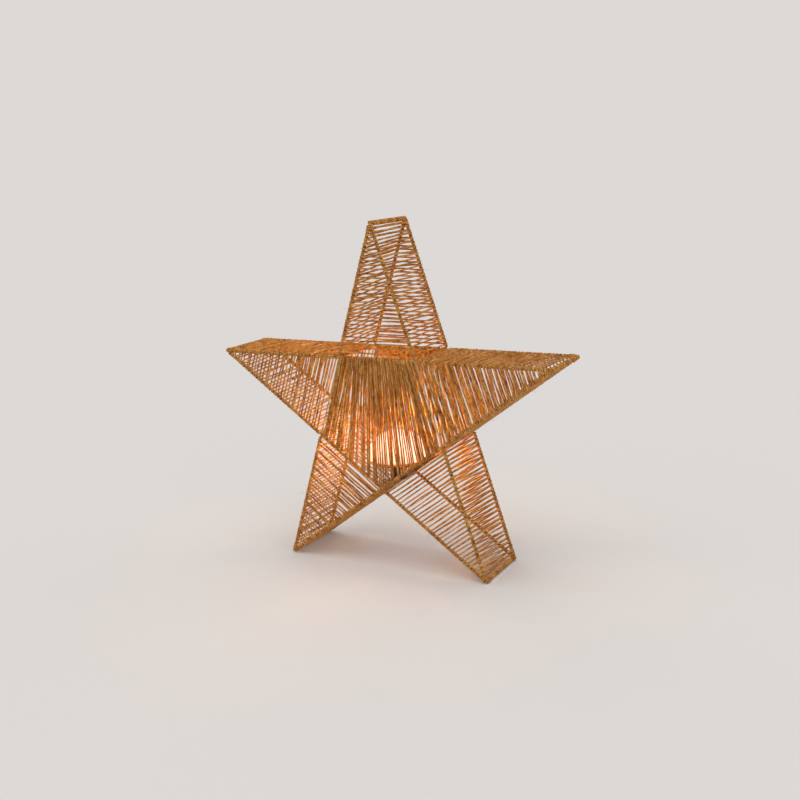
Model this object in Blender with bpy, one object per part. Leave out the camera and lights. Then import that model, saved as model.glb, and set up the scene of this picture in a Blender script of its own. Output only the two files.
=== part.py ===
# Five-pointed star lantern: two wire stars held apart by cross bars, wound with twine,
# with a domed lamp on the bottom cross bar inside.
# Metres, +Z up. The star stands on its two lower tips, and the origin is on the floor
# midway between them. The front of the star faces -Y.

import math

import bmesh
import bpy
from mathutils import Matrix, Vector

# Star and wires
TIP_RADIUS = 0.290
WIRE_DIAMETER = 0.0024
TIP_BAR_DIAMETER = 0.007
CLEARANCE = 0.0003

# Lamp
DOME_DIAMETER = 0.095
DOME_HEIGHT = 0.042
LAMP_SIDE_GAP = 0.0055
LAMP_BASE_HEIGHT = 0.034
LAMP_NECK_DIAMETER = 0.026
LAMP_NECK_HEIGHT = 0.014
LAMP_RIM_HEIGHT = 0.007
BRACKET_WIDTH = 0.024
BRACKET_END_GAP = 0.016
BRACKET_THICKNESS = 0.0015
BRACKET_LIP = 0.004

# Twine windings
TWINE_DIAMETER = 0.0024
ARM_STRAND_GAP = 0.0045
BODY_STRAND_GAP = 0.0008
TIP_GAP = 0.0035
FOOT_GAP = 0.002

# Facets
WIRE_SIDES = 6
TIP_BAR_SIDES = 8
LAMP_SIDES = 24
DOME_RINGS = 6

# The star's five long lines cross at five inner corners. The two wire stars stand in
# planes either side of the lamp.
POINTS = 5
TURN = 2 * math.pi / POINTS
HALF_POINT = math.pi / (2 * POINTS)
HALF_NOTCH = (math.pi - TURN) / 2
CORNER_RADIUS = TIP_RADIUS * math.cos(TURN) / math.cos(TURN / 2)
FRAME_DEPTH = DOME_DIAMETER + 2 * LAMP_SIDE_GAP
ARM_LENGTH = TIP_RADIUS - CORNER_RADIUS * math.cos(TURN / 2)
ARMS = ("top", "right", "lower_right", "lower_left", "left")
CORNERS = ("upper_right", "lower_right", "bottom", "lower_left", "upper_left")
FACES = {"front": Vector((0, -1, 0)), "back": Vector((0, 1, 0))}
ACROSS = Vector((1, 0, 0))
INWARD = Vector((0, 1, 0))
UP = Vector((0, 0, 1))

# The two wires of an arm stop where they are one clearance apart, against the tip bar
WIRE_RADIUS = WIRE_DIAMETER / 2
TIP_BAR_RADIUS = TIP_BAR_DIAMETER / 2
WIRE_END = (WIRE_DIAMETER / math.cos(HALF_POINT) + CLEARANCE) / (2 * math.tan(HALF_POINT))
TIP_BAR_PLACE = TIP_RADIUS - WIRE_END + CLEARANCE + TIP_BAR_RADIUS
LOWER_TIP_ANGLE = 2 * TURN
STAR_HEIGHT = TIP_BAR_RADIUS - TIP_BAR_PLACE * math.cos(LOWER_TIP_ANGLE)

# Twine lies one clearance outside the wires, from the tip bar down to the arm's foot
TWINE_RADIUS = TWINE_DIAMETER / 2
WINDING_OFFSET = WIRE_RADIUS + CLEARANCE + TWINE_RADIUS
FIRST_STRAND = WIRE_END - CLEARANCE + TIP_GAP + TWINE_RADIUS
FLAT_FOOT = TWINE_DIAMETER + FOOT_GAP
EDGE_FOOT = (WINDING_OFFSET + TWINE_RADIUS) / math.tan(HALF_NOTCH) + FOOT_GAP
BODY_INSET = WIRE_RADIUS + TWINE_RADIUS


def polar(radius, angle):
    """A point of the star's plane. Angles run clockwise from straight up."""
    return Vector((radius * math.sin(angle), 0, radius * math.cos(angle)))


# Points of the top arm, which the other arms repeat
TIP = polar(TIP_RADIUS, 0)
RIGHT_CORNER = polar(CORNER_RADIUS, TURN / 2)
LEFT_CORNER = polar(CORNER_RADIUS, -TURN / 2)
FAR_CORNER = polar(CORNER_RADIUS, 3 * TURN / 2)
BOTTOM_CORNER = polar(CORNER_RADIUS, 5 * TURN / 2)


def finish(name, colour, roughness, metallic=0.0, emission=0.0):
    material = bpy.data.materials.new(name)
    material.use_nodes = True
    shader = material.node_tree.nodes["Principled BSDF"]
    shader.inputs["Base Color"].default_value = (*colour, 1)
    shader.inputs["Roughness"].default_value = roughness
    shader.inputs["Metallic"].default_value = metallic
    shader.inputs["Emission Color"].default_value = (*colour, 1)
    shader.inputs["Emission Strength"].default_value = emission
    return material


def to_mesh(name, shape, material):
    bmesh.ops.recalc_face_normals(shape, faces=shape.faces)
    mesh = bpy.data.meshes.new(name)
    shape.to_mesh(mesh)
    shape.free()
    mesh.materials.append(material)
    return mesh


def place(name, mesh, parent, location=(0, 0, 0)):
    made = bpy.data.objects.new(name, mesh)
    made.parent = parent
    made.location = location
    bpy.context.collection.objects.link(made)
    return made


def bar_mesh(name, start, end, sides, diameter, material, cuts=(), turn=0.0):
    """Straight bar. Each cut is a point of its plane and the way that is cut off."""
    line = end - start
    shape = bmesh.new()
    bmesh.ops.create_cone(
        shape, cap_ends=True, segments=sides,
        radius1=diameter / 2, radius2=diameter / 2, depth=line.length,
    )
    lie = line.to_track_quat("Z", "Y").to_matrix().to_4x4()
    spin = Matrix.Rotation(turn, 4, "Z")
    middle = Matrix.Translation((start + end) / 2)
    bmesh.ops.transform(shape, matrix=middle @ lie @ spin, verts=shape.verts)
    for point, off in cuts:
        everything = shape.verts[:] + shape.edges[:] + shape.faces[:]
        cut = bmesh.ops.bisect_plane(
            shape, geom=everything, plane_co=point, plane_no=off, clear_outer=True
        )
        rim = [item for item in cut["geom_cut"] if isinstance(item, bmesh.types.BMEdge)]
        bmesh.ops.contextual_create(shape, geom=rim)
    return to_mesh(name, shape, material)


def butt_cut(line_end, line, passing):
    """Cut for a wire that ends one clearance short of the wire that passes its end."""
    off = passing.cross(INWARD).normalized()
    off *= math.copysign(1, off.dot(line))
    return line_end - off * (WIRE_RADIUS + CLEARANCE), off


def arm_wire_meshes(material):
    """Long wire, which runs on along the inner pentagon, and short wire of one arm."""
    tip_cut = (TIP - UP * WIRE_END, UP)
    long_line = FAR_CORNER - TIP
    short_line = LEFT_CORNER - TIP
    far_passing = FAR_CORNER - polar(TIP_RADIUS, TURN)
    near_passing = LEFT_CORNER - polar(TIP_RADIUS, -TURN)
    long_wire = bar_mesh(
        "long_wire", TIP, FAR_CORNER, WIRE_SIDES, WIRE_DIAMETER, material,
        (tip_cut, butt_cut(FAR_CORNER, long_line, far_passing)),
    )
    short_wire = bar_mesh(
        "short_wire", TIP, LEFT_CORNER, WIRE_SIDES, WIRE_DIAMETER, material,
        (tip_cut, butt_cut(LEFT_CORNER, short_line, near_passing)),
    )
    return {"long_wire": long_wire, "short_wire": short_wire}


def winding_mesh(name, path, outward, material):
    """Twine that runs to and fro along a flat path. Its section is a triangle with one
    side flat against the wires and its ridge outwards."""
    shape = bmesh.new()
    last = len(path) - 1
    end_face = None
    for index, point in enumerate(path):
        before = (point - path[max(index - 1, 0)]).normalized()
        after = (path[min(index + 1, last)] - point).normalized()
        before = before if index > 0 else after
        after = after if index < last else before
        beside = outward.cross(before)
        mitre = (beside + outward.cross(after)).normalized()
        mitre *= TWINE_RADIUS / mitre.dot(beside)
        inner = point - outward * TWINE_RADIUS
        section = (inner + mitre, inner - mitre, point + outward * TWINE_RADIUS)
        if end_face is None:
            end_face = shape.faces.new([shape.verts.new(place) for place in section])
            continue
        grown = bmesh.ops.extrude_face_region(shape, geom=[end_face])
        if index > 1:
            bmesh.ops.delete(shape, geom=[end_face], context="FACES_ONLY")
        end_face = next(
            item for item in grown["geom"] if isinstance(item, bmesh.types.BMFace)
        )
        for corner, target in zip(end_face.verts, section):
            corner.co = target
    return to_mesh(name, shape, material)


def to_and_fro(count, left_end, right_end):
    """Path that crosses row after row, first one way and then the other."""
    path = []
    for row in range(count):
        ends = [left_end(row), right_end(row)]
        if row % 2:
            ends.reverse()
        path += ends
    return path


def row_places(first, last, gap):
    """Places of evenly spaced strands, with close to the stated gap between them."""
    rows = max(2, round((last - first) / (TWINE_DIAMETER + gap)) + 1)
    return [first + (last - first) * row / (rows - 1) for row in range(rows)]


def flat_arm_mesh(name, outward, material):
    """Winding over the front or back of an arm, parallel to the arm's foot."""
    downs = row_places(FIRST_STRAND, ARM_LENGTH - FLAT_FOOT, ARM_STRAND_GAP)

    def end(row, way):
        half_width = downs[row] * math.tan(HALF_POINT)
        height = TIP - UP * downs[row]
        return height + ACROSS * way * half_width + outward * WINDING_OFFSET

    path = to_and_fro(len(downs), lambda row: end(row, -1), lambda row: end(row, 1))
    return winding_mesh(name, path, outward, material)


def edge_arm_mesh(name, foot, material):
    """Winding over one side of an arm, whose strands run from front to back."""
    line = (foot - TIP).normalized()
    outward = line.cross(INWARD)
    outward *= math.copysign(1, outward.dot(foot))
    first = FIRST_STRAND / math.cos(HALF_POINT)
    last = (foot - TIP).length - EDGE_FOOT
    downs = row_places(first, last, ARM_STRAND_GAP)

    def end(row, way):
        depth = INWARD * way * FRAME_DEPTH / 2
        return TIP + line * downs[row] + outward * WINDING_OFFSET + depth

    path = to_and_fro(len(downs), lambda row: end(row, -1), lambda row: end(row, 1))
    return winding_mesh(name, path, outward, material)


def body_mesh(name, outward, material):
    """Winding over the inner pentagon: strands fan down from its top edge to its V."""
    low_right = FAR_CORNER
    slope = (low_right.z - BOTTOM_CORNER.z) / low_right.x
    top_reach = RIGHT_CORNER.x - BODY_INSET
    low_reach = low_right.x - BODY_INSET
    top_places = row_places(-top_reach, top_reach, BODY_STRAND_GAP)

    def top_end(row):
        return Vector((top_places[row], 0, RIGHT_CORNER.z)) + outward * WINDING_OFFSET

    def low_end(row):
        x = top_places[row] * low_reach / top_reach
        foot = Vector((x, 0, BOTTOM_CORNER.z + abs(x) * slope))
        return foot + outward * WINDING_OFFSET

    path = to_and_fro(len(top_places), top_end, low_end)
    return winding_mesh(name, path, outward, material)


def add_arms(star, steel, twine):
    """Wires, windings and cross bars, modelled for the top arm and turned to the rest."""
    wires = arm_wire_meshes(steel)
    flats = {}
    for face, outward in FACES.items():
        flats[face] = flat_arm_mesh(f"arm_{face}_winding", outward, twine)
    edges = {
        "clockwise": edge_arm_mesh("arm_clockwise_winding", RIGHT_CORNER, twine),
        "anticlockwise": edge_arm_mesh("arm_anticlockwise_winding", LEFT_CORNER, twine),
    }
    bar_half = INWARD * (FRAME_DEPTH / 2 - WIRE_RADIUS - CLEARANCE)
    cross_bar = bar_mesh(
        "cross_bar", RIGHT_CORNER - bar_half, RIGHT_CORNER + bar_half,
        WIRE_SIDES, WIRE_DIAMETER, steel,
    )
    for index, arm in enumerate(ARMS):
        pivot = place(f"{arm}_arm_pivot", None, star)
        pivot.rotation_euler.y = TURN * index
        for face, outward in FACES.items():
            plane = outward * FRAME_DEPTH / 2
            for wire, mesh in wires.items():
                place(f"{face}_{arm}_{wire}", mesh, pivot, plane)
            place(f"{arm}_arm_{face}_winding", flats[face], pivot, plane)
        for side, mesh in edges.items():
            place(f"{arm}_arm_{side}_winding", mesh, pivot)
        place(f"{CORNERS[index]}_cross_bar", cross_bar, pivot)


def add_tip_bars(star, twine):
    """Bound bars at the five tips, each flat underneath, which close the wires' ends."""
    half = INWARD * (FRAME_DEPTH / 2 + WIRE_RADIUS)
    over_corners = TIP_BAR_DIAMETER / math.cos(math.pi / TIP_BAR_SIDES)
    bar = bar_mesh(
        "tip_bar", -half, half, TIP_BAR_SIDES, over_corners, twine,
        turn=math.pi / TIP_BAR_SIDES,
    )
    for index, arm in enumerate(ARMS):
        place(f"{arm}_tip_bar", bar, star, polar(TIP_BAR_PLACE, TURN * index))


def add_body_windings(star, twine):
    for face, outward in FACES.items():
        mesh = body_mesh(f"body_{face}_winding", outward, twine)
        place(f"body_{face}_winding", mesh, star, outward * FRAME_DEPTH / 2)


def bracket_mesh(material):
    """Folded steel strip that sits over the bottom cross bar, with a lip either side."""
    under = WIRE_RADIUS + CLEARANCE
    over = under + BRACKET_THICKNESS
    lip_end = under - BRACKET_LIP
    half_width = BRACKET_WIDTH / 2
    half_profile = (
        (under, lip_end), (over, lip_end), (over, under),
        (half_width, under), (half_width, over),
    )
    profile = [(-x, z) for x, z in half_profile] + list(reversed(half_profile))
    profile += [(under, under), (-under, under)]
    length = FRAME_DEPTH - WIRE_DIAMETER - 2 * BRACKET_END_GAP
    shape = bmesh.new()
    corners = [shape.verts.new((x, -length / 2, z)) for x, z in profile]
    end = shape.faces.new(corners)
    grown = bmesh.ops.extrude_face_region(shape, geom=[end])
    moved = [item for item in grown["geom"] if isinstance(item, bmesh.types.BMVert)]
    bmesh.ops.translate(shape, verts=moved, vec=INWARD * length)
    return to_mesh("lamp_bracket", shape, material)


def turned_mesh(name, profile, material):
    """Solid of revolution. The profile gives radius and height, from axis to axis."""
    shape = bmesh.new()
    corners = [shape.verts.new((radius, 0, height)) for radius, height in profile]
    line = [shape.edges.new(pair) for pair in zip(corners, corners[1:])]
    bmesh.ops.spin(
        shape, geom=corners + line, cent=(0, 0, 0), axis=(0, 0, 1),
        angle=2 * math.pi, steps=LAMP_SIDES,
    )
    bmesh.ops.remove_doubles(shape, verts=shape.verts, dist=CLEARANCE / 10)
    mesh = to_mesh(name, shape, material)
    mesh.shade_smooth()
    mesh.set_sharp_from_angle(angle=TURN / 2)
    return mesh


def add_lamp(star, steel, housing, frosted):
    """Dish with a neck and an upright rim on the bracket, and a frosted dome on the dish."""
    rim = DOME_DIAMETER / 2
    base = (
        (0, 0), (LAMP_NECK_DIAMETER / 2, 0), (LAMP_NECK_DIAMETER / 2, LAMP_NECK_HEIGHT),
        (rim, LAMP_BASE_HEIGHT - LAMP_RIM_HEIGHT), (rim, LAMP_BASE_HEIGHT),
        (0, LAMP_BASE_HEIGHT),
    )
    quarter = [math.pi / 2 * ring / DOME_RINGS for ring in range(DOME_RINGS)]
    dome = [(0, 0)]
    dome += [(rim * math.cos(angle), DOME_HEIGHT * math.sin(angle)) for angle in quarter]
    dome.append((0, DOME_HEIGHT))
    base_height = WIRE_RADIUS + BRACKET_THICKNESS + 2 * CLEARANCE
    dome_height = base_height + LAMP_BASE_HEIGHT + CLEARANCE
    place("lamp_bracket", bracket_mesh(steel), star, BOTTOM_CORNER)
    base_mesh = turned_mesh("lamp_base", base, housing)
    place("lamp_base", base_mesh, star, BOTTOM_CORNER + UP * base_height)
    dome_mesh = turned_mesh("lamp_dome", dome, frosted)
    place("lamp_dome", dome_mesh, star, BOTTOM_CORNER + UP * dome_height)


def main():
    for old in list(bpy.data.objects):
        bpy.data.objects.remove(old, do_unlink=True)
    steel = finish("wire_steel", (0.55, 0.44, 0.26), 0.4, metallic=0.8)
    twine = finish("jute_twine", (0.42, 0.22, 0.08), 0.85)
    housing = finish("lamp_housing", (0.22, 0.18, 0.15), 0.5)
    frosted = finish("frosted_dome", (1.0, 0.82, 0.66), 0.4, emission=1.0)
    star = place("star_centre", None, None, UP * STAR_HEIGHT)
    add_arms(star, steel, twine)
    add_tip_bars(star, twine)
    add_body_windings(star, twine)
    add_lamp(star, steel, housing, frosted)


main()
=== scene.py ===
# Woven star lantern: two wire stars held apart by cross bars, wound with jute twine round
# and round each arm and up and down over the front and back, with a lit lamp inside.
# Metres, +Z up. The front of the star faces -Y and it stands on its two lower tips.

import math
import random

import bmesh
import bpy
import numpy
from mathutils import Matrix, Vector


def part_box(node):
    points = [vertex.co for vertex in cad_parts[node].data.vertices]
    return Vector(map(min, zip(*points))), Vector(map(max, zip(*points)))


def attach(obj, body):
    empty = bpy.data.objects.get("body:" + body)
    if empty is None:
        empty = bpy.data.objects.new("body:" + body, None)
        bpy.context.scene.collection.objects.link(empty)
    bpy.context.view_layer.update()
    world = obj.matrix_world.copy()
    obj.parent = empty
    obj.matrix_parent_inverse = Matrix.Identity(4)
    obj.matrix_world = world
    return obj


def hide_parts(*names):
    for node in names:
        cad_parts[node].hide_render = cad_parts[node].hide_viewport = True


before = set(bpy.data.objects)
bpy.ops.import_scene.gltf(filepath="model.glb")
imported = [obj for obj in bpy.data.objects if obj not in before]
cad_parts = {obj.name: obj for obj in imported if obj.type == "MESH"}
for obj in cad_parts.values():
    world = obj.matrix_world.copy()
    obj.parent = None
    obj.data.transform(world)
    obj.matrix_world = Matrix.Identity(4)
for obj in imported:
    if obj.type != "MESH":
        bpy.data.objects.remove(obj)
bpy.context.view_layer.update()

# Twine, how it is wound, and how far the knobs at the tips are set out past the tip bars
TWINE_RADIUS = 0.0012
TWINE_LAY = 0.0066
ARM_PITCH = 0.0059
BODY_TURNS = 39
BINDING_PITCH = 0.0024
BINDING_PRESSED = 0.0005
SWELL_SPREAD = 0.09
SWELL_STEP = 4
MOST_SWELL = 1.15
OVERLAP = 0.0004
FIRST_TURN = 0.0065
FOOT_GAP = 0.0035
BUNCH_PITCHES = 1.7
FULL_SLACK_SPAN = 0.08
KNOB_RADII = (0.0012, 0.0022, 0.0027, 0.0027, 0.0026)
KNOB_REACH = {
    "top": 0.0, "right": 0.0002, "lower_right": 0.0018, "lower_left": 0.0018, "left": 0.0014,
}
LASHING_RADIUS = 0.0029
LASHING_END = 0.0105
THICKER_BAR = 0.0006
CORNER_INSET = 0.003

# How each arm is wound: how uneven, as a share of the pitch; how bunched, in metres; how
# far the twine leans to the foot on the back rods, per metre below LEAN_FROM; how slack,
# in metres; how much thicker at the foot, as a share; how much its turns crowd at the
# foot; and how thick on the front, clockwise, back and anticlockwise faces
LEAN_FROM = 0.12
MANNERS = {
    "top": dict(
        uneven=0.11, bunched=0.0002, lean=0.0, slack=0.0010, foot=0.0, crowd=0.0,
        faces=(1.00, 1.12, 1.12, 1.12),
    ),
    "right": dict(
        uneven=0.12, bunched=0.0007, lean=0.0, slack=0.0009, foot=0.35, crowd=0.16,
        faces=(1.02, 0.95, 0.95, 0.95),
    ),
    "lower_right": dict(
        uneven=0.05, bunched=0.0003, lean=0.06, slack=0.0005, foot=0.0, crowd=0.0,
        faces=(0.88, 0.76, 1.25, 1.20),
    ),
    "lower_left": dict(
        uneven=0.15, bunched=0.0010, lean=0.0, slack=0.0009, foot=0.0, crowd=0.0,
        faces=(1.05, 1.05, 1.10, 1.10),
    ),
    "left": dict(
        uneven=0.13, bunched=0.0006, lean=0.0, slack=0.0009, foot=0.1, crowd=0.05,
        faces=(1.06, 1.06, 1.06, 1.06),
    ),
}

# How uneven the body's twine is at the top wire and at the V, as a share of its spacing,
# and how slack, in metres
BODY_UNEVEN = (0.33, 0.65)
BODY_SLACK = 0.0008

# How thick the body's twine is at the bottom of the V and at the top wire
BODY_THICKNESS = (0.78, 1.24)

# How much thinner the body's twine is before the lamp and thicker at the sides, and where
BODY_FULLNESS = (0.94, 1.20)
BODY_SIDES = (0.055, 0.080)

# Loose fibres that stand off the twine of each winding. The lift and the curl of one are
# shares of its length.
FIBRES = 170
FIBRE_RADIUS = 0.00013
FIBRE_LENGTHS = (0.005, 0.016)
FIBRE_LIFTS = (0.15, 0.6)
FIBRE_CURL = 0.25

# Lamp and its bracket
DOME_LIP = 0.003
DOME_HOLLOW = 0.002
DOME_BEVEL = 0.0006
DISH_BEVEL = 0.0008
BRACKET_BEVEL = 0.0003
RIM_HEIGHT = 0.007
RING_HEIGHT = 0.0035
BRIM_SHARE = 0.9
NECK_HEIGHT = 0.014
NECK_RADIUS = 0.013
PLATE_THICKNESS = 0.0015
PLATE_GAP = 0.0003

# How finely round shapes and long runs are divided
STRAND_SIDES = 8
FIBRE_SIDES = 4
WIRE_SIDES = 12
LAMP_SIDES = 64
LOOP_STEPS = 8
BEND_STEPS = 3
SPAN_STEP = 0.007
WIRE_STEP = 0.02
ELBOW_STEPS = 8
FIBRE_STEPS = 4
FLARE_STEPS = 5
BEVEL_STEPS = 2

# Which edges are sharp, and the height of a normal below which its face looks down
SMOOTH_ANGLE = math.radians(35)
SHARP_ANGLE = math.radians(40)
DOME_SHARP_ANGLE = math.radians(60)
DOWNWARD = -0.9

# Colours of the jute, from dark to light. Its tone is its own random mottling, with painted shade
# that darkens the grooves between its plies against their crowns
JUTE_DARK = (0.065, 0.018, 0.002)
JUTE_MIDDLE = (0.56, 0.208, 0.032)
JUTE_LIGHT = (0.98, 0.63, 0.23)

# Light, with the floor as bright as the background
DAYLIGHT = (0.723, 0.693, 0.672)
SUN_SHARE = 0.26
SUN_TILT = math.radians(14)
SUN_SIDE = math.radians(-25)
SUN_SPREAD = math.radians(60)
DOME_GLOW = 1.3
LAMP_COLOUR = (1.0, 0.60, 0.25)
LAMP_POWER = 5.0
GLOW_REACH = 1.02
FLOOR_SIZE = 400

# Camera, as the photograph was taken
CAMERA_AZIMUTH = math.radians(29.66)
CAMERA_ELEVATION = math.radians(13.3)
CAMERA_ROLL = math.radians(-2.47)
CAMERA_DISTANCE = 1.6524
CAMERA_LENS = 48.15
CAMERA_SHIFT = (0.00495, 0.0132)

# The star's shape, read from the frame
POINTS = 5
TURN = 2 * math.pi / POINTS
HALF_POINT = math.pi / (2 * POINTS)
ARMS = ("top", "right", "lower_right", "lower_left", "left")
CORNER_NAMES = ("upper_right", "lower_right", "bottom", "lower_left", "upper_left")
DEEP = Vector((0, 1, 0))
UP = Vector((0, 0, 1))


def middle(node):
    low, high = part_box(node)
    return (Vector(low) + Vector(high)) / 2


def extent(node):
    low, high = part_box(node)
    return Vector(high) - Vector(low)


CORNERS = [middle(f"{name}_cross_bar") for name in CORNER_NAMES]
CENTRE = sum(CORNERS, Vector()) / POINTS
CORNER_RADIUS = (CORNERS[0] - CENTRE).length
TIP_RADIUS = CORNER_RADIUS * math.cos(TURN / 2) / math.cos(TURN)
ARM_LENGTH = TIP_RADIUS - CORNER_RADIUS * math.cos(TURN / 2)
LAST_TURN = ARM_LENGTH - FOOT_GAP
WIRE_RADIUS = extent("front_top_long_wire").y / 2
HALF_DEPTH = abs(middle("front_top_long_wire").y)
TIP_BAR_RADIUS = extent("top_tip_bar").z / 2
TIP_BAR_HALF_LENGTH = extent("top_tip_bar").y / 2
TIP_BAR_PLACE = (middle("top_tip_bar") - CENTRE).length
WIND_RADIUS = WIRE_RADIUS + TWINE_RADIUS - BINDING_PRESSED
SLOPE = math.tan(HALF_POINT)

# Side and face of an arm's four rods, in the order in which the twine goes round them
RODS = ((-1, -1), (1, -1), (1, 1), (-1, 1))


class Value:
    """A number that varies over a surface. Sums on it add Math nodes to its finish."""

    def __init__(self, finish, socket):
        self.finish = finish
        self.socket = socket

    def math(self, operation, first, second=None):
        sockets = {0: first} if second is None else {0: first, 1: second}
        made = self.finish.node("ShaderNodeMath", {"operation": operation}, sockets)
        return Value(self.finish, made.outputs[0])

    def __add__(self, other):
        return self.math("ADD", self, other)

    def __radd__(self, other):
        return self.math("ADD", other, self)

    def __sub__(self, other):
        return self.math("SUBTRACT", self, other)

    def __rsub__(self, other):
        return self.math("SUBTRACT", other, self)

    def __mul__(self, other):
        return self.math("MULTIPLY", self, other)

    def __rmul__(self, other):
        return self.math("MULTIPLY", other, self)

    def __truediv__(self, other):
        return self.math("DIVIDE", self, other)

    def __rtruediv__(self, other):
        return self.math("DIVIDE", other, self)

    def __abs__(self):
        return self.math("ABSOLUTE", self)

    def sine(self):
        return self.math("SINE", self)

    def cosine(self):
        return self.math("COSINE", self)


class Finish:
    """A material and the nodes that make it."""

    def __init__(self, name, **sockets):
        self.material = bpy.data.materials.new(name)
        self.material.use_nodes = True
        self.tree = self.material.node_tree
        self.shader = self.tree.nodes["Principled BSDF"]
        self.feed(self.shader, {key.replace("_", " "): value for key, value in sockets.items()})

    def feed(self, node, sockets):
        for key, value in sockets.items():
            socket = node.inputs[key]
            if isinstance(value, Value):
                self.tree.links.new(value.socket, socket)
            elif isinstance(value, bpy.types.NodeSocket):
                self.tree.links.new(value, socket)
            else:
                socket.default_value = value

    def node(self, kind, settings=None, sockets=None):
        made = self.tree.nodes.new(kind)
        for key, value in (settings or {}).items():
            if key == "stops":
                self.set_stops(made.color_ramp, value)
            else:
                setattr(made, key, value)
        self.feed(made, sockets or {})
        return made

    def set_stops(self, ramp, stops):
        while len(ramp.elements) < len(stops):
            ramp.elements.new(1.0)
        for element, (place, colour) in zip(ramp.elements, stops):
            element.position = place
            element.color = (*colour, 1)

    def value(self, socket):
        return Value(self, socket)

    def object_place(self):
        return self.node("ShaderNodeTexCoord").outputs["Object"]

    def noise(self, place, scale, detail=2.0, roughness=0.5):
        made = self.node(
            "ShaderNodeTexNoise", None,
            {"Vector": place, "Scale": scale, "Detail": detail, "Roughness": roughness},
        )
        return self.value(made.outputs["Fac"])

    def ramp(self, amount, stops):
        return self.node("ShaderNodeValToRGB", {"stops": stops}, {"Fac": amount}).outputs["Color"]

    def bump(self, height, depth):
        made = self.node("ShaderNodeBump", None, {"Height": height, "Distance": depth})
        return made.outputs["Normal"]

    def put(self, **sockets):
        self.feed(self.shader, {key.replace("_", " "): value for key, value in sockets.items()})


def jute_finish():
    """Two-ply twisted jute, whose plies follow the twine by its own attribute. Its colour has
    painted shade in the grooves between the plies.
    """
    finish = Finish("jute_twine", Roughness=0.85, Subsurface_Weight=0.32, Subsurface_Scale=1.0)
    finish.put(Subsurface_Radius=(0.0030, 0.0014, 0.0005))
    finish.put(Specular_IOR_Level=0.15, Sheen_Weight=0.06, Sheen_Tint=(1.0, 0.72, 0.4, 1))
    lay = finish.node("ShaderNodeAttribute", {"attribute_name": "lay"}).outputs["Vector"]
    parts = finish.node("ShaderNodeSeparateXYZ", None, {"Vector": lay}).outputs
    run = finish.value(parts["X"])
    across = finish.value(parts["Y"])
    around = finish.value(parts["Z"])
    phase = run * (2 * math.pi / TWINE_LAY)
    side = across * phase.sine() - around * phase.cosine()
    face = across * phase.cosine() + around * phase.sine()
    crown = abs(side)
    fibre_place = finish.node(
        "ShaderNodeCombineXYZ", None, {"X": run * 260.0, "Y": side * 3.2, "Z": face * 3.2}
    ).outputs[0]
    fibre = finish.noise(fibre_place, 1.6, detail=3.0, roughness=0.65)
    along = finish.node("ShaderNodeCombineXYZ", None, {"X": run * 12.0}).outputs[0]
    slow = finish.noise(along, 1.0, detail=2.0)
    speck = finish.noise(along, 6.0, detail=3.0, roughness=0.8)
    # The last number brings the average tone to about the middle of the ramp
    # crown * 0.50 is painted shade: the grooves between the plies darker, their crowns lighter.
    # The noises are the jute's own random tone.
    tone = crown * 0.50 + fibre * 2.3 + slow * 1.3 + speck * 1.9 - 2.57
    colour = finish.ramp(tone, ((0.0, JUTE_DARK), (0.48, JUTE_MIDDLE), (1.0, JUTE_LIGHT)))
    height = crown * 0.7 + fibre * 0.5
    finish.put(Base_Color=colour, Normal=finish.bump(height, TWINE_RADIUS * 0.8))
    return finish.material


def fibre_finish():
    finish = Finish("jute_fibre", Roughness=0.8, Specular_IOR_Level=0.2)
    tone = finish.noise(finish.object_place(), 60.0, detail=3.0)
    stops = ((0.3, (0.36, 0.16, 0.04)), (0.7, (0.75, 0.48, 0.20)))
    finish.put(Base_Color=finish.ramp(tone, stops))
    return finish.material


def wire_finish():
    finish = Finish("straw_wire", Roughness=0.45, Metallic=0.0)
    place = finish.object_place()
    blotch = finish.noise(place, 90.0, detail=3.0)
    speck = finish.noise(place, 900.0, detail=2.0)
    tone = blotch * 0.7 + speck * 0.3
    stops = ((0.25, (0.30, 0.21, 0.09)), (0.55, (0.55, 0.43, 0.21)), (0.8, (0.70, 0.58, 0.33)))
    finish.put(Base_Color=finish.ramp(tone, stops))
    finish.put(Normal=finish.bump(speck, 0.0002), Roughness=0.35 + blotch * 0.3)
    return finish.material


def housing_finish():
    finish = Finish("housing_plastic", Roughness=0.5)
    place = finish.object_place()
    grain = finish.noise(place, 2500.0, detail=2.0)
    cloud = finish.noise(place, 45.0, detail=2.0)
    colour = finish.ramp(cloud, ((0.3, (0.085, 0.048, 0.028)), (0.7, (0.14, 0.085, 0.052))))
    finish.put(Base_Color=colour, Roughness=0.42 + grain * 0.2)
    finish.put(Normal=finish.bump(grain, 0.0001))
    return finish.material


def dome_finish(rim_height, top_height):
    """Frosted glass lit from within: hottest over the lamp, warmer down at the rim."""
    finish = Finish("frosted_dome", Roughness=0.55)
    place = finish.object_place()
    height = finish.value(finish.node("ShaderNodeSeparateXYZ", None, {0: place}).outputs["Z"])
    rise = (height - rim_height) / (top_height - rim_height)
    frost = finish.noise(place, 350.0, detail=2.0)
    tone = rise * 0.9 + frost * 0.1
    glow = finish.ramp(
        tone, ((0.0, (1.0, 0.50, 0.28)), (0.35, (1.0, 0.66, 0.46)), (0.9, (1.0, 0.75, 0.60)))
    )
    finish.put(Base_Color=(0.9, 0.85, 0.8, 1), Emission_Color=glow)
    finish.put(Emission_Strength=DOME_GLOW, Normal=finish.bump(frost, 0.0002))
    return finish.material


def floor_finish():
    shade = 1 / (1 + SUN_SHARE)
    finish = Finish("pale_floor", Roughness=1.0, Specular_IOR_Level=0.0)
    finish.put(Base_Color=(shade, shade, shade, 1))
    return finish.material


def keep_selected(piece):
    bpy.ops.object.select_all(action="DESELECT")
    piece.select_set(True)
    bpy.context.view_layer.objects.active = piece


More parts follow.
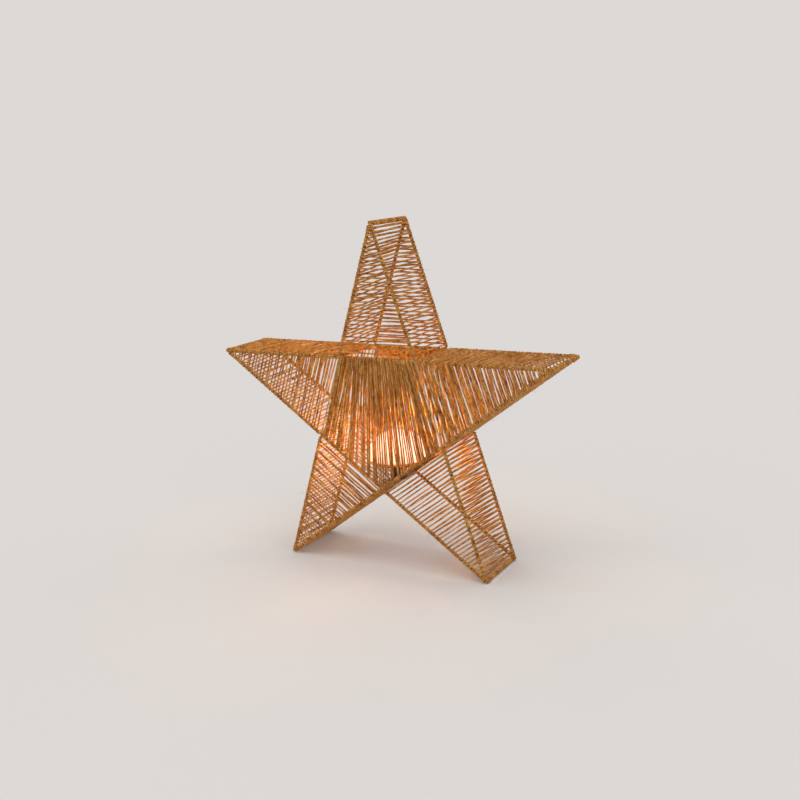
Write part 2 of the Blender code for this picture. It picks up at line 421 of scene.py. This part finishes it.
def tube(name, runs, radius, sides, material, thickness=None):
    """A round strand along each run of points, made a mesh that knows its own length.

    The attribute "lay" holds, at each point, the length run so far and where round the
    strand it is, as a cosine and a sine."""
    curve = bpy.data.curves.new(name, "CURVE")
    curve.dimensions = "3D"
    curve.bevel_depth = radius
    curve.bevel_resolution = sides // 2 - 2
    lengths = []
    for index, run in enumerate(runs):
        spline = curve.splines.new("POLY")
        spline.points.add(len(run) - 1)
        spline.use_smooth = True
        for point, spot in zip(spline.points, run):
            point.co = (*spot, 1)
        if thickness:
            spline.points.foreach_set("radius", thickness[index])
        places = numpy.array([tuple(spot) for spot in run])
        steps = numpy.linalg.norm(numpy.diff(places, axis=0), axis=1)
        start = lengths[-1][-1] if lengths else 0.0
        lengths.append(start + numpy.concatenate(([0.0], numpy.cumsum(steps))))
    piece = bpy.data.objects.new(name, curve)
    bpy.context.collection.objects.link(piece)
    keep_selected(piece)
    bpy.ops.object.convert(target="MESH")
    bpy.ops.object.mode_set(mode="EDIT")
    bpy.ops.mesh.select_all(action="SELECT")
    bpy.ops.mesh.fill_holes(sides=sides)
    bpy.ops.object.mode_set(mode="OBJECT")
    mesh = piece.data
    mesh.materials.clear()
    mesh.materials.append(material)
    rings = numpy.concatenate(lengths)
    assert len(mesh.vertices) == len(rings) * sides, (name, len(mesh.vertices), len(rings))
    turn = numpy.arange(sides) * 2 * math.pi / sides
    lay = numpy.empty((len(rings), sides, 3))
    lay[:, :, 0] = rings[:, None]
    lay[:, :, 1] = numpy.cos(turn)[None, :]
    lay[:, :, 2] = numpy.sin(turn)[None, :]
    mesh.attributes.new("lay", "FLOAT_VECTOR", "POINT").data.foreach_set("vector", lay.ravel())
    return piece


def finish_piece(piece, slot, *nodes):
    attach(piece, "root")
    if nodes:
        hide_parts(*nodes)


class Arm:
    """One arm's own directions: outwards along it, across it clockwise, and in depth."""

    def __init__(self, index):
        angle = TURN * index
        self.name = ARMS[index]
        self.out = Vector((math.sin(angle), 0, math.cos(angle)))
        self.across = Vector((math.cos(angle), 0, -math.sin(angle)))

    def place(self, down, across, deep):
        """down is measured from the point where the arm's edges meet."""
        return CENTRE + self.out * (TIP_RADIUS - down) + self.across * across + DEEP * deep

    def rod(self, down, side, face):
        return self.place(down, side * down * SLOPE, face * HALF_DEPTH)


def uneven_span(start, end, sideways, hand, slack):
    """Points of a strand between two supports, both ends left out. It isn't drawn quite
    straight: it bows and snakes a little sideways."""
    length = (end - start).length
    steps = max(2, round(length / SPAN_STEP))
    slack *= min(1, length / FULL_SLACK_SPAN)
    bow = hand.gauss(0, slack)
    snake = hand.gauss(0, slack / 2)
    points = []
    for step in range(1, steps):
        share = step / steps
        off = bow * math.sin(math.pi * share) + snake * math.sin(2 * math.pi * share)
        points.append(start.lerp(end, share) + sideways * off)
    return points


def swelling(count, hand):
    """Thickness along a strand, which swells and thins slowly."""
    knots = []
    for _ in range(count // SWELL_STEP + 2):
        knots.append(min(1 + hand.gauss(0, SWELL_SPREAD), MOST_SWELL))
    return numpy.interp(numpy.arange(count) / SWELL_STEP, range(len(knots)), knots)


def binding(start, end, radius=WIND_RADIUS):
    """Twine laid closely round and round a straight wire."""
    line = end - start
    square = line.to_track_quat("Z", "Y")
    steps = round(line.length / BINDING_PITCH) * LOOP_STEPS
    points = []
    for step in range(steps + 1):
        turn = 2 * math.pi * step / LOOP_STEPS
        off = square @ Vector((math.cos(turn), math.sin(turn), 0))
        points.append(start.lerp(end, step / steps) + off * radius)
    return points


def bend_round(spot, first, second, start, end):
    """A strand that bends round a bound wire. The angles run from the first way to the
    second."""
    steps = round(BEND_STEPS * abs(end - start) / (math.pi / 2))
    points = []
    for step in range(steps + 1):
        turn = start + (end - start) * step / steps
        off = first * math.cos(turn) + second * math.sin(turn)
        points.append(spot + off * (WIND_RADIUS + OVERLAP))
    return points


def round_and_round(arm, hand, uneven, bunched, lean, slack, foot, crowd, faces):
    """One strand round and round the arm's four rods, from the tip down to its foot, and
    its thickness on each face. It steps down where it comes back to the first rod."""
    length = LAST_TURN - FIRST_TURN
    turns = round(length / ARM_PITCH * (1 + crowd))
    pitch = length / turns
    points = []
    swells = []
    for crossing in range(turns * len(RODS) + 1):
        turn, corner = divmod(crossing, len(RODS))
        side, face = RODS[corner]
        share = turn / turns
        down = FIRST_TURN + length * share * (1 + crowd * (1 - share))
        down += bunched * math.sin(down * 2 * math.pi / (ARM_PITCH * BUNCH_PITCHES))
        down += hand.gauss(0, uneven) * pitch
        if face > 0:
            down += lean * (down - LEAN_FROM)
        down = min(max(down, FIRST_TURN), LAST_TURN)
        arrive = math.pi / 2 * (corner - 1)
        rod = arm.rod(down, side, face)
        bend = bend_round(rod, -DEEP, arm.across, arrive, arrive + math.pi / 2)
        if points:
            points += uneven_span(points[-1], bend[0], arm.out, hand, slack)
        points += bend
        swell = faces[corner - 1] * (1 + foot * down / ARM_LENGTH)
        swells += [swell] * (len(points) - len(swells))
    return points, numpy.array(swells)


def tip_knob(arm, face):
    """Twine wound up into a rounded knob over the end of the tip bar and the bent wire."""
    spot = arm.place(TIP_RADIUS - TIP_BAR_PLACE - KNOB_REACH[arm.name], 0, 0)
    spot.z = max(spot.z, max(KNOB_RADII) + TWINE_RADIUS * MOST_SWELL)
    loops = len(KNOB_RADII) - 1
    steps = LOOP_STEPS * loops
    points = []
    for step in range(steps + 1):
        loop = step / LOOP_STEPS
        radius = numpy.interp(loop, range(loops + 1), KNOB_RADII)
        turn = 2 * math.pi * loop
        deep = HALF_DEPTH + TWINE_RADIUS - BINDING_PITCH * loop
        off = arm.out * (radius * math.cos(turn)) + arm.across * (radius * math.sin(turn))
        points.append(spot + off + DEEP * face * deep)
    return points


def tip_lashing(arm, face):
    """Twine round both wires of one star, where they close on each other at a tip."""
    start = TIP_RADIUS - TIP_BAR_PLACE + TIP_BAR_RADIUS / 2
    loops = round((LASHING_END - start) / BINDING_PITCH)
    steps = LOOP_STEPS * loops
    points = []
    for step in range(steps + 1):
        turn = 2 * math.pi * loops * step / steps
        down = start + (LASHING_END - start) * step / steps
        across = (down * SLOPE + LASHING_RADIUS) * math.sin(turn)
        deep = face * HALF_DEPTH - LASHING_RADIUS * math.cos(turn)
        points.append(arm.place(down, across, deep))
    return points


def loose_fibres(name, strand, material, hand):
    """Short fibres that leave a strand along its way and stand off it."""
    hairs = []
    while len(hairs) < FIBRES:
        place = hand.randrange(len(strand) - 1)
        start, way = strand[place], strand[place + 1] - strand[place]
        if way.length < SPAN_STEP / 2:
            continue
        way.normalize()
        aside = way.cross(Vector([hand.gauss(0, 1) for _ in range(3)])).normalized()
        length = hand.uniform(*FIBRE_LENGTHS)
        lift, curl = hand.uniform(*FIBRE_LIFTS), hand.gauss(0, FIBRE_CURL)
        twist = way.cross(aside)
        hair = []
        for step in range(FIBRE_STEPS + 1):
            share = step / FIBRE_STEPS
            off = aside * lift * share ** 2 + twist * curl * share ** 3
            hair.append(start + (way * share + off) * length)
        if min(point.z for point in hair) > TWINE_RADIUS:
            hairs.append(hair)
    piece = tube(name, hairs, FIBRE_RADIUS, FIBRE_SIDES, material)
    finish_piece(piece, "jute_twine")


def arm_winding(index, material, fibre_material):
    arm = Arm(index)
    hand = random.Random(f"winding {index}")
    strand, widths = round_and_round(arm, hand, **MANNERS[arm.name])
    runs = [strand]
    for side, face in RODS:
        runs.append(binding(arm.rod(FIRST_TURN, side, face), arm.rod(LAST_TURN, side, face)))
    for face in (-1, 1):
        runs += [tip_lashing(arm, face), tip_knob(arm, face)]
    loose_fibres(f"{arm.name}_arm_fibres", strand, fibre_material, hand)
    swells = [swelling(len(run), hand) for run in runs]
    swells[0] *= widths
    name = f"{arm.name}_arm_winding"
    piece = tube(name, runs, TWINE_RADIUS, STRAND_SIDES, material, swells)
    sides = ("front", "back", "clockwise", "anticlockwise")
    finish_piece(piece, "jute_twine", *[f"{arm.name}_arm_{side}_winding" for side in sides])


def up_and_down(outside, plane, hand):
    """One strand to and fro between the top wire and the V, on both faces of a star."""
    right, low_right, bottom = CORNERS[0], CORNERS[1], CORNERS[2]
    slope = (low_right.z - bottom.z) / low_right.x
    top_reach = right.x - CORNER_INSET
    low_reach = low_right.x - CORNER_INSET
    points = []
    for crossing in range(BODY_TURNS * 2 + 1):
        uneven = hand.gauss(0, BODY_UNEVEN[crossing % 2])
        share = crossing / BODY_TURNS - 1 + uneven / BODY_TURNS
        share = min(max(share, -1), 1)
        if crossing % 2 == 0:
            spot = Vector((share * top_reach, 0, right.z)) + plane
            bend = bend_round(spot, outside, UP, math.pi, 0)
        else:
            x = share * low_reach
            spot = Vector((x, 0, bottom.z + abs(x) * slope)) + plane
            outward = Vector((slope * math.copysign(1, x), 0, -1)).normalized()
            bend = bend_round(spot, outside, outward, 0, math.pi)
        if points:
            points += uneven_span(points[-1], bend[0], Vector((1, 0, 0)), hand, BODY_SLACK)
        points += bend
    return points


def body_winding(face, sign, material, fibre_material):
    """Twine over the inner pentagon of one star, and round the wires of its V."""
    hand = random.Random(f"body {face}")
    plane = DEEP * sign * HALF_DEPTH
    low_right, bottom, low_left = [corner + plane for corner in CORNERS[1:4]]
    runs = [up_and_down(DEEP * sign, plane, hand)]
    runs += [binding(low_left, bottom), binding(bottom, low_right)]
    swells = [swelling(len(run), hand) for run in runs]
    heights = [point.z for point in runs[0]]
    swells[0] *= numpy.interp(heights, (bottom.z, CORNERS[0].z), BODY_THICKNESS)
    swells[0] *= numpy.interp([abs(point.x) for point in runs[0]], BODY_SIDES, BODY_FULLNESS)
    loose_fibres(f"body_{face}_fibres", runs[0], fibre_material, hand)
    name = f"body_{face}_twine"
    piece = tube(name, runs, TWINE_RADIUS, STRAND_SIDES, material, swells)
    finish_piece(piece, "jute_twine", f"body_{face}_winding")


def straight(start, end, step):
    count = max(1, round((end - start).length / step))
    return [start.lerp(end, index / count) for index in range(count + 1)]


def bent_wire(index, plane):
    """Wire from one inner corner to a tip, round its bend and back to the far corner."""
    arm = Arm(index)
    bend = TIP_RADIUS - TIP_BAR_PLACE + TIP_BAR_RADIUS + WIRE_RADIUS
    bend /= 1 / math.sin(HALF_POINT) - 1
    centre = TIP_RADIUS - bend / math.sin(HALF_POINT)
    reach = math.pi / 2 - HALF_POINT
    elbow = []
    for step in range(ELBOW_STEPS + 1):
        turn = reach * (2 * step / ELBOW_STEPS - 1)
        off = arm.out * math.cos(turn) + arm.across * math.sin(turn)
        elbow.append(CENTRE + plane + arm.out * centre + off * bend)
    near = CORNERS[(index - 1) % POINTS] + plane
    far = CORNERS[(index + 1) % POINTS] + plane
    run = straight(near, elbow[0], WIRE_STEP)[:-1] + elbow
    return run + straight(elbow[-1], far, WIRE_STEP)[1:]


def wire_star(face, sign, material):
    """Ten wires of one star, in pairs that are bent back at the tips under the bars."""
    plane = DEEP * sign * HALF_DEPTH
    runs = [bent_wire(index, plane) for index in range(POINTS)]
    piece = tube(f"{face}_wire_star", runs, WIRE_RADIUS, WIRE_SIDES, material)
    nodes = [f"{face}_{arm}_{wire}_wire" for arm in ARMS for wire in ("long", "short")]
    finish_piece(piece, "wire_steel", *nodes)


def bound_bar(node, radius, wire_material, twine_material, bare=0.0):
    """Wire from the front star to the back star, closely bound with twine. bare is the
    length in its middle that is left bare."""
    spot = middle(node)
    hand = random.Random(node)
    wire_half = DEEP * TIP_BAR_HALF_LENGTH
    bound_half = DEEP * (TIP_BAR_HALF_LENGTH - TWINE_RADIUS * MOST_SWELL)
    core = straight(spot - wire_half, spot + wire_half, WIRE_STEP)
    piece = tube(f"{node}_wire", [core], WIRE_RADIUS, WIRE_SIDES, wire_material)
    finish_piece(piece, "wire_steel")
    ends = (spot - bound_half, spot + bound_half)
    if bare:
        inner = (spot - DEEP * bare / 2, spot + DEEP * bare / 2)
        bound = [binding(ends[0], inner[0], radius), binding(inner[1], ends[1], radius)]
    else:
        bound = [binding(*ends, radius)]
    swells = [swelling(len(run), hand) for run in bound]
    name = f"{node}_binding"
    piece = tube(name, bound, TWINE_RADIUS, STRAND_SIDES, twine_material, swells)
    finish_piece(piece, "jute_twine", node)


def edit(piece):
    keep_selected(piece)
    bpy.ops.object.mode_set(mode="EDIT")


def select_faces(piece, test):
    """In edit mode, selects the faces that pass the test, and only those."""
    bpy.ops.mesh.select_mode(type="FACE")
    bpy.ops.mesh.select_all(action="DESELECT")
    shape = bmesh.from_edit_mesh(piece.data)
    for face in shape.faces:
        if test(face):
            face.select_set(True)
    bmesh.update_edit_mesh(piece.data)


def select_sharp_edges(piece, sharpness):
    bpy.ops.mesh.select_mode(type="EDGE")
    bpy.ops.mesh.select_all(action="DESELECT")
    bpy.ops.mesh.edges_select_sharp(sharpness=sharpness)


def smooth_and_settle(piece, material):
    """Leaves edit mode, smooths what isn't sharp and puts the piece's origin at the world's."""
    bpy.ops.object.mode_set(mode="OBJECT")
    bpy.ops.object.shade_smooth_by_angle(angle=SMOOTH_ANGLE)
    bpy.ops.object.transform_apply(location=True, rotation=True, scale=True)
    piece.data.materials.append(material)


def add_dome():
    """Half a ball pressed to the dome's height, with a softened rim and a hollowed foot."""
    low, high = (Vector(corner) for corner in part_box("lamp_dome"))
    radius = (high.x - low.x) / 2
    foot = Vector((0, 0, low.z))
    bpy.ops.mesh.primitive_uv_sphere_add(
        segments=LAMP_SIDES, ring_count=LAMP_SIDES // 2, radius=radius, location=foot
    )
    dome = bpy.context.object
    dome.name = "frosted_dome"
    edit(dome)
    bpy.ops.mesh.select_all(action="SELECT")
    bpy.ops.mesh.bisect(plane_co=foot, plane_no=(0, 0, 1), use_fill=True, clear_inner=True)
    bpy.ops.mesh.select_all(action="SELECT")
    bpy.ops.transform.resize(value=(1, 1, (high.z - low.z) / radius), center_override=foot)
    select_faces(dome, lambda face: face.normal.z < DOWNWARD)
    bpy.ops.mesh.inset(thickness=DOME_LIP)
    bpy.ops.mesh.extrude_region_move(TRANSFORM_OT_translate={"value": (0, 0, DOME_HOLLOW)})
    select_sharp_edges(dome, DOME_SHARP_ANGLE)
    bpy.ops.mesh.bevel(offset=DOME_BEVEL, segments=BEVEL_STEPS, affect="EDGES")
    smooth_and_settle(dome, dome_finish(low.z, high.z))
    finish_piece(dome, "frosted_dome", "lamp_dome")


def ring_painted_glow_finish():
    """Amber ring under the dome, with the lamp's light through it painted on as a glow."""
    finish = Finish("amber_ring_painted_glow", Roughness=0.5, Base_Color=(0.5, 0.2, 0.05, 1))
    place = finish.object_place()
    grain = finish.noise(place, 120.0, detail=2.0)
    glow = finish.ramp(grain, ((0.3, (0.30, 0.070, 0.010)), (0.7, (0.55, 0.150, 0.025))))
    # Painted light: the ring is no lamp, and this glow stands for the lamp shining through it
    finish.put(Emission_Color=glow, Emission_Strength=0.8)
    return finish.material


def add_dish():
    """Turned dish under the dome: a ring with a painted glow, and an underside that flares into a
    neck.
    """
    low, high = (Vector(corner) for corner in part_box("lamp_base"))
    radius = (high.x - low.x) / 2
    taper = high.z - low.z - RIM_HEIGHT - NECK_HEIGHT

    def under(face):
        """Whether it is the round face underneath, which has more than four corners."""
        return face.normal.z < DOWNWARD and len(face.verts) > 4

    bpy.ops.mesh.primitive_cylinder_add(
        vertices=LAMP_SIDES, radius=radius, depth=RIM_HEIGHT,
        location=(0, 0, high.z - RIM_HEIGHT / 2),
    )
    dish = bpy.context.object
    dish.name = "lamp_dish"
    edit(dish)
    bpy.ops.mesh.select_all(action="SELECT")
    waist = Vector((0, 0, high.z - RING_HEIGHT))
    bpy.ops.mesh.bisect(plane_co=waist, plane_no=(0, 0, 1))
    select_faces(dish, under)
    brim = Vector((0, 0, high.z - RIM_HEIGHT))
    bpy.ops.transform.resize(value=(BRIM_SHARE, BRIM_SHARE, 1), center_override=brim)
    reach, depth = radius * BRIM_SHARE, 0.0
    for step in range(1, FLARE_STEPS + 1):
        turn = math.pi / 2 * step / FLARE_STEPS
        next_reach = NECK_RADIUS + (radius * BRIM_SHARE - NECK_RADIUS) * (1 - math.sin(turn))
        next_depth = taper * (1 - math.cos(turn))
        select_faces(dish, under)
        drop = {"value": (0, 0, depth - next_depth)}
        bpy.ops.mesh.extrude_region_move(TRANSFORM_OT_translate=drop)
        shrink = next_reach / reach
        foot = Vector((0, 0, high.z - RIM_HEIGHT - next_depth))
        bpy.ops.transform.resize(value=(shrink, shrink, 1), center_override=foot)
        reach, depth = next_reach, next_depth
    select_faces(dish, under)
    bpy.ops.mesh.extrude_region_move(TRANSFORM_OT_translate={"value": (0, 0, -NECK_HEIGHT)})
    select_sharp_edges(dish, SHARP_ANGLE)
    bpy.ops.mesh.bevel(offset=DISH_BEVEL, segments=BEVEL_STEPS, affect="EDGES")
    smooth_and_settle(dish, housing_finish())
    # Second slot: the amber ring with its painted glow
    dish.data.materials.append(ring_painted_glow_finish())
    edit(dish)
    select_faces(dish, lambda face: face.calc_center_median().z > waist.z)
    dish.active_material_index = 1
    bpy.ops.object.material_slot_assign()
    bpy.ops.object.mode_set(mode="OBJECT")
    finish_piece(dish, "lamp_housing", "lamp_base")


def add_bracket(material):
    """Strip over the bottom cross bar, with a lip folded down on either side of the bar."""
    low, high = (Vector(corner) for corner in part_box("lamp_bracket"))
    size = high - low
    under = high.z - PLATE_THICKNESS
    bpy.ops.mesh.primitive_cube_add(size=1, location=(0, 0, high.z - PLATE_THICKNESS / 2))
    bracket = bpy.context.object
    bracket.name = "lamp_bracket_strip"
    edit(bracket)
    bpy.ops.mesh.select_all(action="SELECT")
    centre = bracket.location.copy()
    bpy.ops.transform.resize(value=(size.x, size.y, PLATE_THICKNESS), center_override=centre)
    inner = WIRE_RADIUS + PLATE_GAP
    outer = inner + PLATE_THICKNESS
    for place in (-outer, -inner, inner, outer):
        bpy.ops.mesh.select_all(action="SELECT")
        bpy.ops.mesh.bisect(plane_co=(place, 0, 0), plane_no=(1, 0, 0))

    def under_lip(face):
        return face.normal.z < DOWNWARD and inner < abs(face.calc_center_median().x) < outer

    select_faces(bracket, under_lip)
    drop = {"value": (0, 0, low.z - under)}
    bpy.ops.mesh.extrude_region_move(TRANSFORM_OT_translate=drop)
    select_sharp_edges(bracket, SHARP_ANGLE)
    bpy.ops.mesh.bevel(offset=BRACKET_BEVEL, segments=BEVEL_STEPS, affect="EDGES")
    smooth_and_settle(bracket, material)
    finish_piece(bracket, "wire_steel", "lamp_bracket")


def add_glow():
    """The light that the dome gives off, from a ball just wider than the dome."""
    low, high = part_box("lamp_dome")
    light = bpy.data.lights.new("lamp_glow", "POINT")
    light.energy = LAMP_POWER
    light.color = LAMP_COLOUR
    light.shadow_soft_size = (high[0] - low[0]) / 2 * GLOW_REACH
    glow = bpy.data.objects.new("lamp_glow", light)
    glow.location = (Vector(low) + Vector(high)) / 2
    glow.visible_camera = False
    bpy.context.collection.objects.link(glow)


def add_floor():
    bpy.ops.object.select_all(action="DESELECT")
    bpy.ops.mesh.primitive_plane_add(size=FLOOR_SIZE, location=(0, 0, 0))
    floor = bpy.context.object
    floor.name = "floor"
    floor.data.materials.append(floor_finish())


def add_light():
    world = bpy.data.worlds.new("soft_daylight")
    world.use_nodes = True
    sky = world.node_tree.nodes["Background"]
    sky.inputs["Color"].default_value = (*DAYLIGHT, 1)
    bpy.context.scene.world = world
    lamp = bpy.data.lights.new("window", "SUN")
    lamp.color = DAYLIGHT
    lamp.energy = SUN_SHARE * math.pi / math.cos(SUN_TILT)
    lamp.angle = SUN_SPREAD
    window = bpy.data.objects.new("window", lamp)
    window.rotation_euler = (SUN_TILT, 0, SUN_SIDE)
    bpy.context.collection.objects.link(window)
    bpy.context.scene.view_settings.view_transform = "Standard"


def add_camera():
    """The camera looks at the star's middle from the right and a little above."""
    azimuth, elevation = CAMERA_AZIMUTH, CAMERA_ELEVATION
    back = Vector((
        math.sin(azimuth) * math.cos(elevation),
        -math.cos(azimuth) * math.cos(elevation),
        math.sin(elevation),
    ))
    right = Vector((math.cos(azimuth), math.sin(azimuth), 0))
    turned = Matrix((right, back.cross(right), back)).transposed()
    turned = turned @ Matrix.Rotation(CAMERA_ROLL, 3, "Z")
    lens = bpy.data.cameras.new("camera")
    lens.lens = CAMERA_LENS
    lens.shift_x, lens.shift_y = CAMERA_SHIFT
    camera = bpy.data.objects.new("camera", lens)
    camera.matrix_world = Matrix.Translation(CENTRE + back * CAMERA_DISTANCE) @ turned.to_4x4()
    bpy.context.collection.objects.link(camera)
    bpy.context.scene.camera = camera


add_camera()
add_floor()
add_light()
add_glow()
twine = jute_finish()
fibre = fibre_finish()
wire = wire_finish()
for number in range(POINTS):
    arm_winding(number, twine, fibre)
for face, sign in (("front", -1), ("back", 1)):
    body_winding(face, sign, twine, fibre)
    wire_star(face, sign, wire)
thick = TIP_BAR_RADIUS - TWINE_RADIUS * MOST_SWELL
for name in ARMS:
    radius = thick if name.startswith("lower") else thick + THICKER_BAR
    bound_bar(f"{name}_tip_bar", radius, wire, twine)
for name in CORNER_NAMES:
    bare = extent("lamp_bracket").y if name == "bottom" else 0.0
    bound_bar(f"{name}_cross_bar", WIND_RADIUS, wire, twine, bare)
add_dome()
add_dish()
add_bracket(wire)
